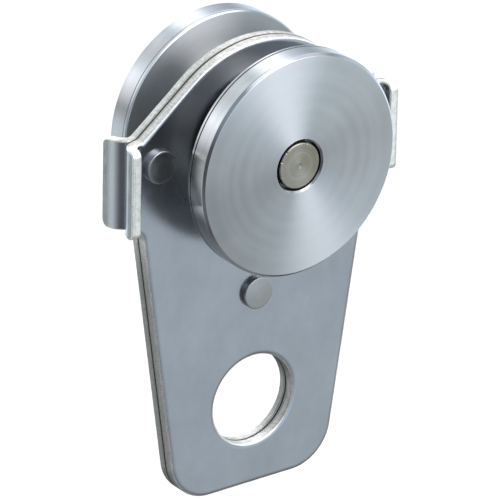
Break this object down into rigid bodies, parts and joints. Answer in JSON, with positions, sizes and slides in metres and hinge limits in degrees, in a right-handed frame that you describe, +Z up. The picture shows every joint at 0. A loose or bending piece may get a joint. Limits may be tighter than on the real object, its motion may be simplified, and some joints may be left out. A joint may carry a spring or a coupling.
{
  "type": "twin-wheel rail hanger",
  "caption": "Hanger for a slotted rail: ball-bearing wheels on both sides of two riveted steel plates with bent ears, and a hanging eye in the tapered foot.",
  "frame": {"origin": "centre of the hanging eye, in the plane where the two plates meet", "axes": "+Z up from the eye to the axle, +Y along the axle towards the rear wheel, X the direction of travel"},
  "size_m": [0.0612, 0.0302, 0.0929],
  "materials": {
    "plate_steel": "satin stainless sheet with deburred edges",
    "wheel_steel": "turned stainless steel",
    "axle_steel": "formed and faced stainless steel",
    "rivet_steel": "satin stainless steel, slightly worn",
    "spacer_steel": "turned stainless steel",
    "ring_steel": "ground bearing steel",
    "ball_steel": "polished bearing steel",
    "cage_plastic": "moulded nylon",
    "shield_steel": "pressed sheet steel",
    "spring_steel": "dark phosphated spring steel"
  },
  "bodies": {
    "hanger": {"front_plate": "plate_steel", "rear_plate": "plate_steel", "axle": "axle_steel", "left_rivet": "rivet_steel", "right_rivet": "rivet_steel", "lower_rivet": "rivet_steel", "front_spacer": "spacer_steel", "rear_spacer": "spacer_steel", "front_bearing_inner_ring": "ring_steel", "rear_bearing_inner_ring": "ring_steel"},
    "front_wheel": {"front_wheel": "wheel_steel", "front_bearing_outer_ring": "ring_steel", "front_inboard_shield": "shield_steel", "front_outboard_shield": "shield_steel", "front_circlip": "spring_steel"},
    "rear_wheel": {"rear_wheel": "wheel_steel", "rear_bearing_outer_ring": "ring_steel", "rear_inboard_shield": "shield_steel", "rear_outboard_shield": "shield_steel", "rear_circlip": "spring_steel"},
    "front_cage": {"front_bearing_balls": "ball_steel", "front_bearing_cage": "cage_plastic"},
    "rear_cage": {"rear_bearing_balls": "ball_steel", "rear_bearing_cage": "cage_plastic"}
  },
  "joints": [
    {"name": "front_wheel_spin", "type": "hinge", "parent": "hanger", "child": "front_wheel", "pos_m": [0, -0.0126, 0.0532], "axis": [0, 1, 0], "continuous": true},
    {"name": "rear_wheel_spin", "type": "hinge", "parent": "hanger", "child": "rear_wheel", "pos_m": [0, 0.0126, 0.0532], "axis": [0, 1, 0], "continuous": true},
    {"name": "front_cage_orbit", "type": "hinge", "parent": "hanger", "child": "front_cage", "pos_m": [0, -0.0098, 0.0532], "axis": [0, 1, 0], "continuous": true},
    {"name": "rear_cage_orbit", "type": "hinge", "parent": "hanger", "child": "rear_cage", "pos_m": [0, 0.0098, 0.0532], "axis": [0, 1, 0], "continuous": true}
  ],
  "couplings": [
    {"joint": "front_cage_orbit", "follows": "front_wheel_spin", "ratio": 0.6323},
    {"joint": "rear_cage_orbit", "follows": "rear_wheel_spin", "ratio": 0.6323}
  ]
}
